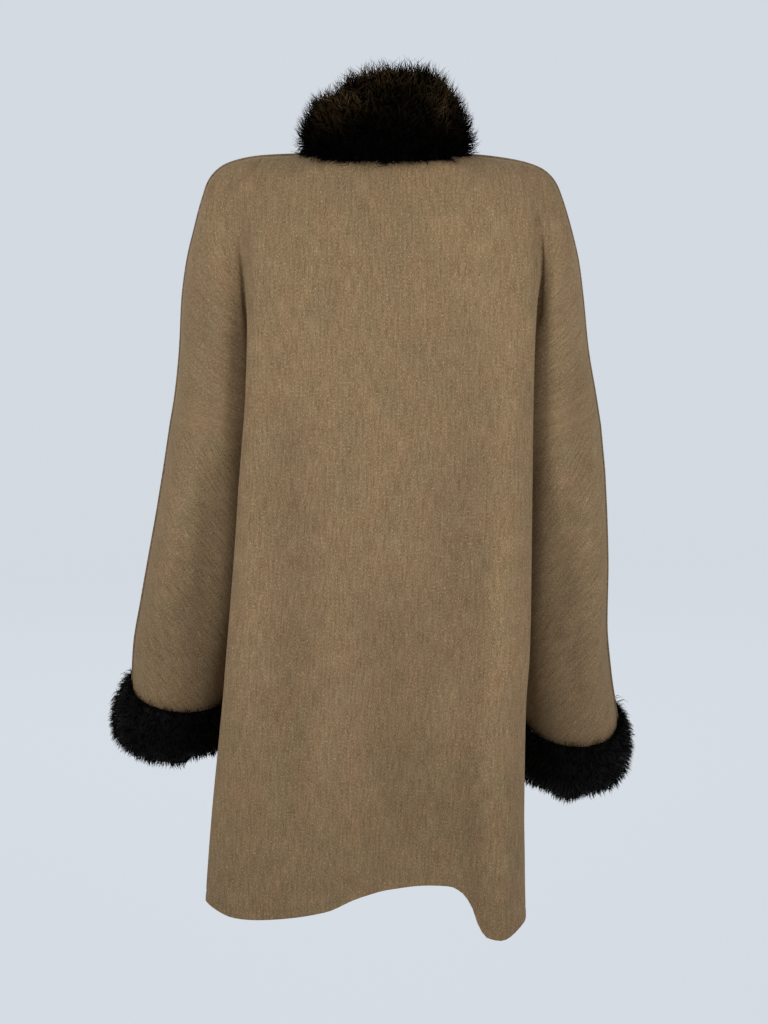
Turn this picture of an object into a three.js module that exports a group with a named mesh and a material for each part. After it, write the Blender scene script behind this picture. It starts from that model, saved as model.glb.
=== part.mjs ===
// A long wool coat with a standing fur collar and fur cuffs, in the form it has when it is worn.
// Back and sleeves are cut in one, so there is no armhole seam: the back panel folds over each sleeve.
// Millimetres, +Z up. +X is the wearer's left, the front faces -Y, and the origin is the middle of the
// neck opening at shoulder height.
import * as THREE from "three";

// Driving sizes
const WALL = 2.4;
const SEAM_GAP = 0.3;
const LAP = 32;
const UNDERLAP = 4;
const LAP_PLACES = [1, 0.67, 0.33];
const NECK_SINK = 0.7;
const NECK_SINK_FROM = -150;
const NECK_SINK_REACH = 80;
const SIDE_SEAM_Y = -22;
const NECK_BLEND_WIDTH = 95;
const FLUTE_GROWTH = 1.4;

// How many faces each stretch of a section gets, from the centre to the crease and on to the arm seam
const BODY_STEPS = [3, 3, 2, 3];
const SLEEVE_STEPS = [2, 2, 2, 2];

// Where the section's points lie between the centre and the fold, and how full its corners are
const PANEL_POINTS = [
  { along: 0.42, drop: 0.04 },
  { along: 0.78, drop: 0.25 },
];
const CORNER_FULLNESS = 0.207;

const WOOL = new THREE.MeshStandardMaterial({ color: 0x826c52, roughness: 0.95, metalness: 0 });
const LONG_FUR = new THREE.MeshStandardMaterial({ color: 0x17110c, roughness: 0.8, metalness: 0 });
const SHORT_FUR = new THREE.MeshStandardMaterial({ color: 0x0f0c0b, roughness: 0.7, metalness: 0 });

function table(columns, rows) {
  return rows.map((row) => Object.fromEntries(columns.map((name, i) => [name, row[i]])));
}

// Sections from the neck to the underarm. sideZ is the height at the arm seam and backZ at the centre.
// frontShare is the front's depth as a share of the back's. neckDrop and neckPush lower the front neck.
const UPPER = table(
  ["sideZ", "backZ", "backY", "frontShare", "neckDrop", "neckPush", "split"],
  [
    [0, -8, 72, 0.9, 44, 26, 0],
    [-2, -12, 75, 0.9, 42, 25, 0],
    [-6, -20, 79, 0.9, 38, 22, 0],
    [-16, -34, 85, 0.9, 32, 18, 0],
    [-33, -52, 93, 0.92, 24, 12, 0],
    [-57, -76, 101, 0.95, 14, 6, 0],
    [-92, -104, 108, 0.98, 6, 2, 0.1],
    [-132, -138, 112, 1.0, 2, 0, 0.3],
    [-180, -184, 115, 1.0, 0, 0, 0.5],
    [-240, -240, 116, 0.98, 0, 0, 0.7],
    [-300, -300, 116, 0.96, 0, 0, 0.9],
    [-340, -340, 116, 0.95, 0, 0, 1],
  ],
);

// One side's points in the same sections: the fold's ridge, the crease behind it, the back of the arm
// and the seam over the arm. rise lifts the arm's outer side.
const SIDE_COLUMNS = [
  "foldX", "foldY", "creaseX", "creaseY", "armX", "armY", "seamX", "seamY", "rise",
];
const UPPER_LEFT = table(SIDE_COLUMNS, [
  [56, 55, 66, 45, 74, 32, 80, 0, 0],
  [83, 57, 97, 46, 109, 33, 118, -1, 0.03],
  [112, 59, 131, 48, 147, 33, 160, -3, 0.07],
  [137, 64, 161, 51, 180, 35, 196, -5, 0.08],
  [153, 71, 177, 57, 199, 39, 216, -7, 0.05],
  [164, 79, 184, 65, 205, 50, 226, -8, 0],
  [171, 87, 186, 72, 206, 64, 236, -10, 0],
  [168, 91, 182, 68, 207, 72, 246, -12, 0],
  [170, 90, 177, 58, 208, 72, 253, -15, 0.01],
  [173, 87, 170, 42, 208, 68, 257, -17, 0.02],
  [175, 85, 161, 20, 211, 65, 264, -20, 0.03],
  [176, 84, 152, SIDE_SEAM_Y, 212, 64, 271, SIDE_SEAM_Y, 0.04],
]);
const UPPER_RIGHT = table(SIDE_COLUMNS, [
  [56, 55, 66, 45, 74, 32, 80, 0, 0],
  [83, 57, 97, 46, 109, 33, 118, -1, -0.04],
  [110, 59, 128, 48, 143, 33, 156, -3, -0.07],
  [134, 64, 156, 51, 175, 35, 190, -5, -0.07],
  [152, 71, 173, 57, 191, 39, 207, -7, -0.03],
  [168, 79, 183, 65, 200, 50, 217, -8, 0],
  [176, 87, 188, 72, 204, 64, 228, -10, 0],
  [178, 91, 188, 68, 205, 72, 238, -12, 0],
  [178, 90, 183, 58, 206, 72, 245, -15, 0.01],
  [178, 87, 174, 42, 206, 68, 252, -17, 0.01],
  [178, 85, 163, 20, 208, 65, 263, -20, 0.02],
  [178, 84, 150, SIDE_SEAM_Y, 210, 64, 270, SIDE_SEAM_Y, 0.02],
]);

// Sections of the body below the underarm
const LOWER = table(
  [
    "z", "backY", "frontShare", "frontWidth", "leftFold", "leftSide", "rightFold", "rightSide",
    "foldY",
  ],
  [
    [-400, 115, 0.94, 0.98, 179, 150, 178, 149, 84],
    [-465, 114, 0.93, 0.94, 184, 153, 178, 150, 84],
    [-530, 113, 0.93, 0.9, 190, 158, 178, 152, 83],
    [-595, 113, 0.93, 0.86, 196, 165, 177, 154, 83],
    [-660, 114, 0.94, 0.82, 202, 172, 173, 155, 82],
    [-725, 115, 0.94, 0.78, 209, 177, 172, 155, 82],
    [-790, 116, 0.95, 0.78, 216, 185, 172, 156, 82],
    [-845, 117, 0.96, 0.82, 221, 197, 173, 161, 81],
    [-895, 118, 0.96, 0.85, 225, 206, 174, 165, 80],
    [-925, 119, 0.96, 0.87, 227, 211, 175, 168, 80],
  ],
);

// The back hem: its height and how far its flutes stand out, by place across the back
const HEM = table(
  ["x", "z", "out"],
  [
    [-175, -957, 6],
    [-146, -966, 22],
    [-127, -963, 14],
    [-117, -952, 6],
    [-107, -926, -4],
    [-95, -911, -12],
    [-80, -905, -18],
    [-50, -904, -20],
    [-5, -906, -12],
    [35, -914, -2],
    [75, -929, 6],
    [130, -938, 8],
    [190, -942, 4],
    [227, -932, 0],
  ],
);
const SIDE_HEM_Z = -932;
const FRONT_HEM_Z = -928;

// Sections of the sleeves below the underarm. z is the height at the inner seam, riseX and riseY tip
// the section outwards and forwards, and dent is how far the soft trough down the sleeve sinks.
const SLEEVE_COLUMNS = ["z", "innerX", "outerX", "y", "halfDepth", "riseX", "riseY", "dent"];
const SLEEVE_LEFT = table(SLEEVE_COLUMNS, [
  [-400, 163, 281, -26, 80, 0.05, -0.03, 1],
  [-460, 167, 292, -32, 74, 0.06, -0.08, 3],
  [-520, 174, 304, -40, 69, 0.07, -0.13, 5],
  [-580, 184, 316, -50, 65, 0.08, -0.18, 6],
  [-642, 197, 328, -61, 61, 0.09, -0.24, 4],
  [-703, 210, 334, -75, 58, 0.1, -0.3, 1],
]);
const SLEEVE_RIGHT = table(SLEEVE_COLUMNS, [
  [-400, 160, 277, -27, 80, 0.02, -0.04, 0],
  [-465, 163, 282, -36, 73, 0.02, -0.1, 2],
  [-530, 167, 286, -50, 67, 0.01, -0.2, 5],
  [-600, 172, 288, -68, 62, -0.01, -0.3, 6],
  [-670, 178, 297, -92, 57, -0.04, -0.41, 4],
  [-742, 184, 312, -122, 54, -0.08, -0.5, 1],
]);

const mix = (a, b, t) => a + (b - a) * t;
const clamp01 = (t) => Math.min(1, Math.max(0, t));

// A value of a table at a place between its rows, along straight lines
function between(rows, key, at, column) {
  const next = rows.findIndex((row) => row[key] >= at);
  if (next === 0) return rows[0][column];
  if (next < 0) return rows.at(-1)[column];
  const [low, high] = [rows[next - 1], rows[next]];
  return mix(low[column], high[column], (at - low[key]) / (high[key] - low[key]));
}

// Points of a smooth curve through the middle points, with the first and last only setting its ends
function curveThrough(points, steps) {
  const curve = new THREE.CatmullRomCurve3(points, false, "centripetal");
  const spans = points.length - 1;
  const places = steps.flatMap((count, span) =>
    Array.from({ length: count }, (_, i) => span + 1 + i / count),
  );
  return [...places, spans - 1].map((place) => curve.getPoint(place / spans));
}

// The point of a rounded corner between the places a and b, standing out from their straight line
function corner(a, b, fullness) {
  return new THREE.Vector3(
    (a.x + b.x) / 2 + fullness * (b.x - a.x),
    (a.y + b.y) / 2 + fullness * (a.y - b.y),
    0,
  );
}

const flat = (x, y) => new THREE.Vector3(x, y, 0);
const mirrored = (point, planeY, share) => flat(point.x, planeY - (point.y - planeY) * share);

// The panel's inner points on one side, from the centre outwards
function panelPoints(centre, fold) {
  return PANEL_POINTS.map(({ along, drop }) =>
    flat(mix(centre.x, fold.x, along), centre.y - drop * (centre.y - fold.y)),
  );
}

// A side's row of the upper section: its body columns from the centre to the crease, then its arm
// columns on to the arm seam, all on the back half
function upperHalf(row, side, sign, opposite) {
  const centre = flat(0, row.backY);
  const fold = flat(sign * side.foldX, side.foldY);
  const crease = flat(sign * side.creaseX, side.creaseY);
  const arm = flat(sign * side.armX, side.armY);
  const seam = flat(sign * side.seamX, side.seamY);
  const inner = corner(arm, crease, CORNER_FULLNESS * (0.3 + 0.7 * row.split));
  const outer = corner(arm, seam, CORNER_FULLNESS);
  const [near] = panelPoints(centre, flat(-sign * opposite.foldX, opposite.foldY));
  const pastCrease = arm.clone().lerp(mirrored(fold, side.seamY, 1), row.split);
  const beforeCrease = fold.clone().lerp(mirrored(inner, side.seamY, 1), row.split);
  const body = curveThrough(
    [near, centre, ...panelPoints(centre, fold), fold, crease, pastCrease],
    BODY_STEPS,
  );
  const sleeve = curveThrough(
    [beforeCrease, crease, inner, arm, outer, seam, mirrored(outer, side.seamY, 1)],
    SLEEVE_STEPS,
  );
  return { body, sleeve };
}

// The row's height at a point: the section rises from the centre to the arm seam
function upperHeight(row, side, point) {
  const share = Math.min(1, Math.abs(point.x) / side.seamX);
  const lift = side.rise * Math.max(0, Math.abs(point.x) - side.creaseX);
  return row.sideZ + (row.backZ - row.sideZ) * (1 - share * share) + lift;
}

// The front neck is lower than the back neck, and lies further forward
function dropFrontNeck(row, point) {
  const share = Math.min(1, Math.abs(point.x) / NECK_BLEND_WIDTH);
  const weight = Math.cos((share * Math.PI) / 2) ** 2;
  point.z -= row.neckDrop * weight;
  point.y -= row.neckPush * weight;
}

function upperRows(sideRows, otherRows, sign, front) {
  return UPPER.map((row, i) => {
    const side = sideRows[i];
    const half = upperHalf(row, side, sign, otherRows[i]);
    const place = (point) => {
      const placed = front ? mirrored(point, side.seamY, row.frontShare) : point.clone();
      placed.z = upperHeight(row, side, point);
      if (front) dropFrontNeck(row, placed);
      return placed;
    };
    return { body: half.body.map(place), sleeve: half.sleeve.map(place) };
  });
}

// One side of the body below the underarm, from the centre to the side seam
function lowerBodyRows(leftSide, front) {
  const sign = leftSide ? 1 : -1;
  const underarm = UPPER.at(-1).backZ;
  const hem = LOWER.at(-1).z;
  return LOWER.map((row) => {
    const folds = [row.leftFold, -row.rightFold];
    const [own, other] = leftSide ? folds : [folds[1], folds[0]];
    const centre = flat((own + other) / 2, row.backY);
    const fold = flat(own, row.foldY);
    const side = flat(sign * (leftSide ? row.leftSide : row.rightSide), SIDE_SEAM_Y);
    const [near] = panelPoints(centre, flat(other, row.foldY));
    const points = curveThrough(
      [near, centre, ...panelPoints(centre, fold), fold, side, mirrored(fold, SIDE_SEAM_Y, 1)],
      BODY_STEPS,
    );
    const down = (row.z - underarm) / (hem - underarm);
    return points.map((point) => {
      const backness = clamp01((point.y - SIDE_SEAM_Y) / (row.foldY - SIDE_SEAM_Y));
      const edge = front ? FRONT_HEM_Z : between(HEM, "x", point.x, "z");
      const flute = between(HEM, "x", point.x, "out") * backness * down ** FLUTE_GROWTH;
      const narrowed = front ? mix(1, row.frontWidth, backness) : 1;
      const placed = flat(centre.x + (point.x - centre.x) * narrowed, point.y + flute);
      const result = front ? mirrored(placed, SIDE_SEAM_Y, row.frontShare) : placed;
      result.z = mix(underarm, mix(SIDE_HEM_Z, edge, backness), down);
      return result;
    });
  });
}

// One side's sleeve below the underarm, from the inner seam to the seam over the arm
function lowerSleeveRows(rows, sign, front) {
  const share = front ? UPPER.at(-1).frontShare : 1;
  return rows.map((row) => {
    const inner = flat(sign * row.innerX, row.y);
    const outer = flat(sign * row.outerX, row.y);
    const arm = flat((inner.x + outer.x) / 2, row.y + row.halfDepth);
    const inCorner = corner(arm, inner, CORNER_FULLNESS);
    const outCorner = corner(arm, outer, CORNER_FULLNESS);
    arm.y -= row.dent;
    const ends = [inCorner, outCorner].map((point) => mirrored(point, row.y, 1));
    const points = curveThrough(
      [ends[0], inner, inCorner, arm, outCorner, outer, ends[1]],
      SLEEVE_STEPS,
    );
    return points.map((point) => {
      const placed = front ? mirrored(point, row.y, share) : point.clone();
      const tip = row.riseX * Math.abs(placed.x - inner.x) + row.riseY * (placed.y - row.y);
      placed.z = row.z + tip;
      return placed;
    });
  });
}

// Marks a row's seam points and moves the row off the seam by half the gap
function seamed(points, seamPlaces, front) {
  const shift = ((front ? -1 : 1) * SEAM_GAP) / 2;
  return points.map((point, i) => {
    const moved = point.clone();
    moved.y += shift;
    moved.seam = seamPlaces.includes(i);
    return moved;
  });
}

const reversed = (points) => [...points].reverse();

// The three patches of one side's half of the back or of a front: above the underarm, and the body and
// sleeve below it
function sidePatches(leftSide, front) {
  const sign = leftSide ? 1 : -1;
  const [own, other] = leftSide ? [UPPER_LEFT, UPPER_RIGHT] : [UPPER_RIGHT, UPPER_LEFT];
  const upper = upperRows(own, other, sign, front);
  const last = upper.at(-1);
  const body = [last.body, ...lowerBodyRows(leftSide, front)];
  const sleeveRows = leftSide ? SLEEVE_LEFT : SLEEVE_RIGHT;
  const sleeve = [last.sleeve, ...lowerSleeveRows(sleeveRows, sign, front)];
  const bodyEnd = last.body.length - 1;
  const sleeveEnd = last.sleeve.length - 1;
  return {
    upperBody: upper.map((row, i) =>
      seamed(row.body, i === upper.length - 1 ? [bodyEnd] : [], front),
    ),
    upperSleeve: upper.map((row, i) =>
      seamed(row.sleeve, i === upper.length - 1 ? [0, sleeveEnd] : [sleeveEnd], front),
    ),
    body: body.map((row) => seamed(row, [bodyEnd], front)),
    sleeve: sleeve.map((row) => seamed(row, [0, sleeveEnd], front)),
  };
}

// A sheet of faces over grids of points, with points at one place shared
function weld(grids) {
  const points = [];
  const found = new Map();
  const faces = [];
  const indexOf = (point) => {
    const key = point.toArray().map((value) => value.toFixed(3)).join(" ");
    if (!found.has(key)) {
      found.set(key, points.length);
      points.push(point.clone());
      points.at(-1).seam = point.seam;
    }
    const index = found.get(key);
    points[index].seam = points[index].seam || point.seam;
    return index;
  };
  for (const grid of grids) {
    const indices = grid.map((row) => row.map(indexOf));
    for (let i = 0; i + 1 < indices.length; i++)
      for (let j = 0; j + 1 < indices[i].length; j++) {
        const [a, b] = [indices[i][j], indices[i][j + 1]];
        const [c, d] = [indices[i + 1][j], indices[i + 1][j + 1]];
        faces.push([a, c, d], [a, d, b]);
      }
  }
  return { points, faces };
}

// Outward directions at the points. On a seam the wall's edge stays in the seam's plane.
function outwards({ points, faces }) {
  const normals = points.map(() => new THREE.Vector3());
  for (const [a, b, c] of faces) {
    const edge = points[b].clone().sub(points[a]);
    const normal = edge.cross(points[c].clone().sub(points[a]));
    [a, b, c].forEach((index) => normals[index].add(normal));
  }
  normals.forEach((normal, i) => {
    if (points[i].seam) normal.y = 0;
    normal.normalize();
  });
  return normals;
}

// The closed solid of a sheet of cloth, with the wall on its inner side
function thicken(sheet, wall) {
  const { points, faces } = sheet;
  const normals = outwards(sheet);
  const inner = points.map((point, i) => point.clone().addScaledVector(normals[i], -wall));
  const count = points.length;
  const edges = new Set();
  const eachEdge = (face) => face.map((a, i) => [a, face[(i + 1) % 3]]);
  faces.flatMap(eachEdge).forEach(([a, b]) => edges.add(`${a} ${b}`));
  const rim = faces
    .flatMap(eachEdge)
    .filter(([a, b]) => !edges.has(`${b} ${a}`))
    .flatMap(([a, b]) => [
      [b, a, a + count],
      [b, a + count, b + count],
    ]);
  const inside = faces.map(([a, b, c]) => [c + count, b + count, a + count]);
  return geometryOf([...points, ...inner], [...faces, ...inside, ...rim]);
}

function geometryOf(points, faces) {
  const geometry = new THREE.BufferGeometry().setFromPoints(points);
  geometry.setIndex(faces.flat());
  geometry.computeVertexNormals();
  return geometry;
}

// The back: both halves joined at the centre, with its rows running from the wearer's left to right
function backGeometry() {
  const left = sidePatches(true, false);
  const right = sidePatches(false, false);
  const joined = (a, b) => a.map((row, i) => [...reversed(row), ...b[i].slice(1)]);
  return thicken(
    weld([
      joined(left.upperBody, right.upperBody),
      left.upperSleeve.map(reversed),
      right.upperSleeve,
      joined(left.body, right.body),
      left.sleeve.map(reversed),
      right.sleeve,
    ]),
    WALL,
  );
}

// How far a point of the under front lies inside the upper one, by its distance past the centre
function underlapDepth(past) {
  return UNDERLAP * (1 - clamp01((past - LAP - 8) / LAP));
}

// The point of a row at a distance across from its first point
function acrossRow(row, distance) {
  const reach = (point) => Math.abs(point.x - row[0].x);
  const next = row.findIndex((point) => reach(point) >= distance);
  const [low, high] = [row[next - 1], row[next]];
  return low.clone().lerp(high, (distance - reach(low)) / (reach(high) - reach(low)));
}

// A front: its side's half, and a strip past the centre for the lap
function frontGeometry(leftSide) {
  const own = sidePatches(leftSide, true);
  const other = sidePatches(!leftSide, true);
  const withLap = (rows, otherRows) =>
    rows.map((row, i) => {
      const strip = LAP_PLACES.map((part) => acrossRow(otherRows[i], part * LAP));
      const full = [...strip, ...row].map((point) => {
        const moved = point.clone();
        moved.seam = point.seam;
        const depth = leftSide ? underlapDepth(point.x - row[0].x) : 0;
        moved.y += depth;
        moved.z -= depth * NECK_SINK * clamp01((point.z - NECK_SINK_FROM) / NECK_SINK_REACH);
        return moved;
      });
      return leftSide ? full : reversed(full);
    });
  const arm = (rows) => (leftSide ? rows : rows.map(reversed));
  return thicken(
    weld([
      withLap(own.upperBody, other.upperBody),
      withLap(own.body, other.body),
      arm(own.upperSleeve),
      arm(own.sleeve),
    ]),
    WALL,
  );
}

// A solid through closed sections, either all the way round or with its ends closed by fans
function sweep(sections, round) {
  const size = sections[0].length;
  const points = sections.flat();
  const faces = [];
  const spans = round ? sections.length : sections.length - 1;
  for (let i = 0; i < spans; i++)
    for (let j = 0; j < size; j++) {
      const next = (i + 1) % sections.length;
      const [a, b] = [i * size + j, i * size + ((j + 1) % size)];
      const [c, d] = [next * size + j, next * size + ((j + 1) % size)];
      faces.push([a, c, d], [a, d, b]);
    }
  if (!round)
    [0, sections.length - 1].forEach((end, which) => {
      const middle = points.length;
      const sum = sections[end].reduce((total, p) => total.add(p), new THREE.Vector3());
      points.push(sum.divideScalar(size));
      for (let j = 0; j < size; j++) {
        const [a, b] = [end * size + j, end * size + ((j + 1) % size)];
        faces.push(which === 0 ? [middle, a, b] : [middle, b, a]);
      }
    });
  return geometryOf(points, faces);
}

// The collar: how high the fur stands and how thick it is, by angle round the neck from the wearer's
// left towards the back
const COLLAR = table(
  ["angle", "height", "thick"],
  [
    [-84, 40, 0.45],
    [-78, 50, 0.8],
    [-66, 56, 0.96],
    [-48, 60, 1],
    [-32, 62, 1],
    [-14, 64, 1],
    [0, 66, 1],
    [18, 70, 1],
    [38, 78, 1],
    [60, 102, 1],
    [90, 116, 1],
    [120, 112, 1],
    [142, 100, 1],
    [162, 76, 1],
    [180, 67, 1],
    [194, 64, 1],
    [212, 62, 1],
    [228, 60, 1],
    [246, 56, 0.96],
    [258, 50, 0.8],
    [264, 40, 0.45],
  ],
);
// The fur's section: out from the neck edge, and up as a share of the height
const COLLAR_SECTION = table(
  ["out", "up"],
  [
    [-6, 0],
    [14, 0],
    [29, 0.02],
    [29, 0.2],
    [25, 0.46],
    [19, 0.72],
    [12, 0.92],
    [5, 1],
    [-5, 0.92],
    [-12, 0.7],
    [-14, 0.4],
    [-12, 0.12],
  ],
);
const COLLAR_LIFT = 0.8;
const COLLAR_CLEARANCE = 3.8;
const COLLAR_MIDDLE_OUT = 8;

// The neck edge of back and fronts, as places by angle from the wearer's left towards the back
function neckEdge() {
  const halves = [true, false].flatMap((front) =>
    [true, false].map((leftSide) => sidePatches(leftSide, front)),
  );
  const points = halves.flatMap((half) => [...half.upperBody[0], ...half.upperSleeve[0]]);
  const places = points.map((point) => {
    const angle = THREE.MathUtils.radToDeg(Math.atan2(point.y, point.x));
    return { angle: angle < -90 ? angle + 360 : angle, x: point.x, y: point.y, z: point.z };
  });
  return places.sort((a, b) => a.angle - b.angle);
}

// How high the cloth lies under a point
function clothHeight(point, cloth) {
  const above = new THREE.Vector3(point.x, point.y, 300);
  const [hit] = new THREE.Raycaster(above, new THREE.Vector3(0, 0, -1)).intersectObjects(cloth);
  return hit ? hit.point.z : -Infinity;
}

// The collar stands on the neck edge, and its outer part clears the shoulders and the chest
function collarGeometry(cloth) {
  const edges = neckEdge();
  const sections = COLLAR.map(({ angle, height, thick }) => {
    const [x, y, z] = ["x", "y", "z"].map((column) => between(edges, "angle", angle, column));
    const outward = flat(x, y).normalize();
    return COLLAR_SECTION.map(({ out, up }) => {
      const spread = COLLAR_MIDDLE_OUT + (out - COLLAR_MIDDLE_OUT) * thick;
      const point = flat(x, y).addScaledVector(outward, spread);
      const clear = clothHeight(point, cloth) + (out > 0 ? COLLAR_CLEARANCE : COLLAR_LIFT);
      point.z = Math.max(z + COLLAR_LIFT + up * height, clear);
      return point;
    });
  });
  return sweep(sections, false);
}

// The cuff's section: out from the sleeve's outer face, and down from its lower edge. outer is what is
// added on the side away from the body, where the fur sags.
const CUFF_SECTION = table(
  ["out", "down", "outer"],
  [
    [-6, 6, 0],
    [-3, 1.6, 0],
    [1, 0.8, 0],
    [2.2, -6, 0],
    [7, -12, -1],
    [14, -11, -2],
    [22, -1, -3],
    [26, 20, 1],
    [25, 48, 6],
    [19, 70, 10],
    [7, 81, 8],
    [-4, 74, 2],
    [-8, 40, 0],
  ],
);

// A cuff is set on the sleeve's lower edge all the way round
function cuffGeometry(leftSide) {
  const sign = leftSide ? 1 : -1;
  const rows = leftSide ? SLEEVE_LEFT : SLEEVE_RIGHT;
  const [back, front] = [false, true].map((half) => lowerSleeveRows(rows, sign, half).at(-1));
  const edge = [...back, ...reversed(front).slice(1, -1)];
  const { riseX, riseY } = rows.at(-1);
  const along = new THREE.Vector3(sign * riseX, riseY, -1).normalize();
  const sections = edge.map((point, i) => {
    const tangent = edge[(i + 1) % edge.length].clone().sub(edge.at(i - 1));
    const outward = tangent.cross(along).normalize().multiplyScalar(sign);
    const away = Math.max(0, outward.x * sign);
    return CUFF_SECTION.map(({ out, down, outer }) =>
      point.clone().addScaledVector(outward, out + outer * away).addScaledVector(along, down),
    );
  });
  return sweep(leftSide ? sections : reversed(sections), true);
}

function piece(name, geometry, material) {
  const mesh = new THREE.Mesh(geometry, material);
  mesh.name = name;
  return mesh;
}

const coat = new THREE.Group();
coat.name = "long_coat";
const cloth = [
  piece("back", backGeometry(), WOOL),
  piece("front_left", frontGeometry(true), WOOL),
  piece("front_right", frontGeometry(false), WOOL),
];
coat.add(
  ...cloth,
  piece("collar", collarGeometry(cloth), LONG_FUR),
  piece("cuff_left", cuffGeometry(true), SHORT_FUR),
  piece("cuff_right", cuffGeometry(false), SHORT_FUR),
);

export default coat;
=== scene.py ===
"""The looks of a long brushed-wool coat with a standing fur collar and turned-back fur cuffs.

The cloth is three thin shells on the forms of their solids, and the fur is a dark pelt with hairs of real geometry.
Lengths are metres unless a name says otherwise, and x is the wearer's left, -y the front and z up.
"""

import logging
import math
from dataclasses import dataclass
from enum import Enum
from typing import Callable, Sequence

import bmesh
import bpy
import numpy as np
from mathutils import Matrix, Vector
from mathutils.kdtree import KDTree


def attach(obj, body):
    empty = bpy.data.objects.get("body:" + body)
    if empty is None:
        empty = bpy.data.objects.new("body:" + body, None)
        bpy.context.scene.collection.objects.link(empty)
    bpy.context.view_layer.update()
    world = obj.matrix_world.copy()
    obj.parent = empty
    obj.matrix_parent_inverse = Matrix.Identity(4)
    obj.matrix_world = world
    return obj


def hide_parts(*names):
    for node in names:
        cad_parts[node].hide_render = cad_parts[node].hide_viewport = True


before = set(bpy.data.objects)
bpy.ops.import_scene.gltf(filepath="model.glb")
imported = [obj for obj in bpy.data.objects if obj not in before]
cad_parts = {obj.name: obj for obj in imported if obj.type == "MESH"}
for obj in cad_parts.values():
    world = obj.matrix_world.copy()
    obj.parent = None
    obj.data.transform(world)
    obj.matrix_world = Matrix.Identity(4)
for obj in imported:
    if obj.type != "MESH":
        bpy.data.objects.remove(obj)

log = logging.getLogger("coat")
MM = 0.001
Array = np.ndarray
Triple = tuple[float, float, float]


class Side(Enum):
    """One of the wearer's sides."""

    LEFT = 1
    RIGHT = -1


class Slot(Enum):
    """The record's material slots."""

    WOOL = "wool"
    LONG_FUR = "long_fur"
    SHORT_FUR = "short_fur"


# ---------------------------------------------------------------- tables of the coat's cut, in millimetres

UPPER = {
    "sideZ": [0, -2, -6, -16, -33, -57, -92, -132, -180, -240, -300, -340],
    "backZ": [-8, -12, -20, -34, -52, -76, -104, -138, -184, -240, -300, -340],
    "backY": [72, 75, 79, 85, 93, 101, 108, 112, 115, 116, 116, 116],
    "frontShare": [0.9, 0.9, 0.9, 0.9, 0.92, 0.95, 0.98, 1.0, 1.0, 0.98, 0.96, 0.95],
    "neckDrop": [44, 42, 38, 32, 24, 14, 6, 2, 0, 0, 0, 0],
    "neckPush": [26, 25, 22, 18, 12, 6, 2, 0, 0, 0, 0, 0],
    "split": [0, 0, 0, 0, 0, 0, 0.1, 0.3, 0.5, 0.7, 0.9, 1],
    "foldY": [55, 57, 59, 64, 71, 79, 87, 91, 90, 87, 85, 84],
    "creaseY": [45, 46, 48, 51, 57, 65, 72, 68, 58, 42, 20, -22],
    "armY": [32, 33, 33, 35, 39, 50, 64, 72, 72, 68, 65, 64],
    "seamY": [0, -1, -3, -5, -7, -8, -10, -12, -15, -17, -20, -22],
}
SIDES = {
    Side.LEFT: {
        "foldX": [56, 83, 112, 137, 153, 161, 165, 162, 163, 166, 169, 173],
        "creaseX": [66, 97, 131, 161, 177, 179, 177, 173, 170, 166, 160, 152],
        "armX": [74, 109, 147, 180, 199, 205, 206, 207, 208, 208, 211, 212],
        "seamX": [80, 118, 160, 196, 216, 226, 236, 246, 253, 257, 264, 271],
        "rise": [0, 0.03, 0.07, 0.08, 0.05, 0, 0, 0, 0.01, 0.02, 0.03, 0.04],
    },
    Side.RIGHT: {
        "foldX": [56, 83, 110, 134, 152, 168, 176, 178, 178, 178, 178, 178],
        "creaseX": [66, 97, 128, 156, 173, 183, 188, 188, 183, 174, 163, 150],
        "armX": [74, 109, 143, 175, 191, 200, 204, 205, 206, 206, 208, 210],
        "seamX": [80, 118, 156, 190, 207, 217, 228, 238, 245, 252, 263, 270],
        "rise": [0, -0.04, -0.07, -0.07, -0.03, 0, 0, 0, 0.01, 0.01, 0.02, 0.02],
    },
}
LOWER = {
    "z": [-400, -465, -530, -595, -660, -725, -790, -845, -895, -925],
    "backY": [115, 114, 113, 113, 114, 115, 116, 117, 118, 119],
    "frontShare": [0.94, 0.93, 0.93, 0.93, 0.94, 0.94, 0.95, 0.96, 0.96, 0.96],
    "frontWidth": [0.98, 0.94, 0.9, 0.86, 0.82, 0.78, 0.78, 0.82, 0.85, 0.87],
    "leftFold": [179, 184, 190, 196, 202, 209, 216, 221, 225, 227],
    "leftSide": [150, 153, 158, 165, 172, 177, 185, 197, 206, 211],
    "rightFold": [178, 178, 178, 177, 173, 172, 172, 173, 174, 175],
    "rightSide": [149, 150, 152, 154, 155, 155, 156, 161, 165, 168],
    "foldY": [84, 84, 83, 83, 82, 82, 82, 81, 80, 80],
}
HEM = {
    "x": [-175, -146, -127, -117, -107, -95, -80, -50, -5, 35, 75, 130, 190, 227],
    "z": [-957, -966, -963, -952, -926, -911, -905, -904, -906, -914, -929, -938, -942, -932],
    "out": [6, 22, 14, 6, -4, -12, -18, -20, -12, -2, 6, 8, 4, 0],
}
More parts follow.
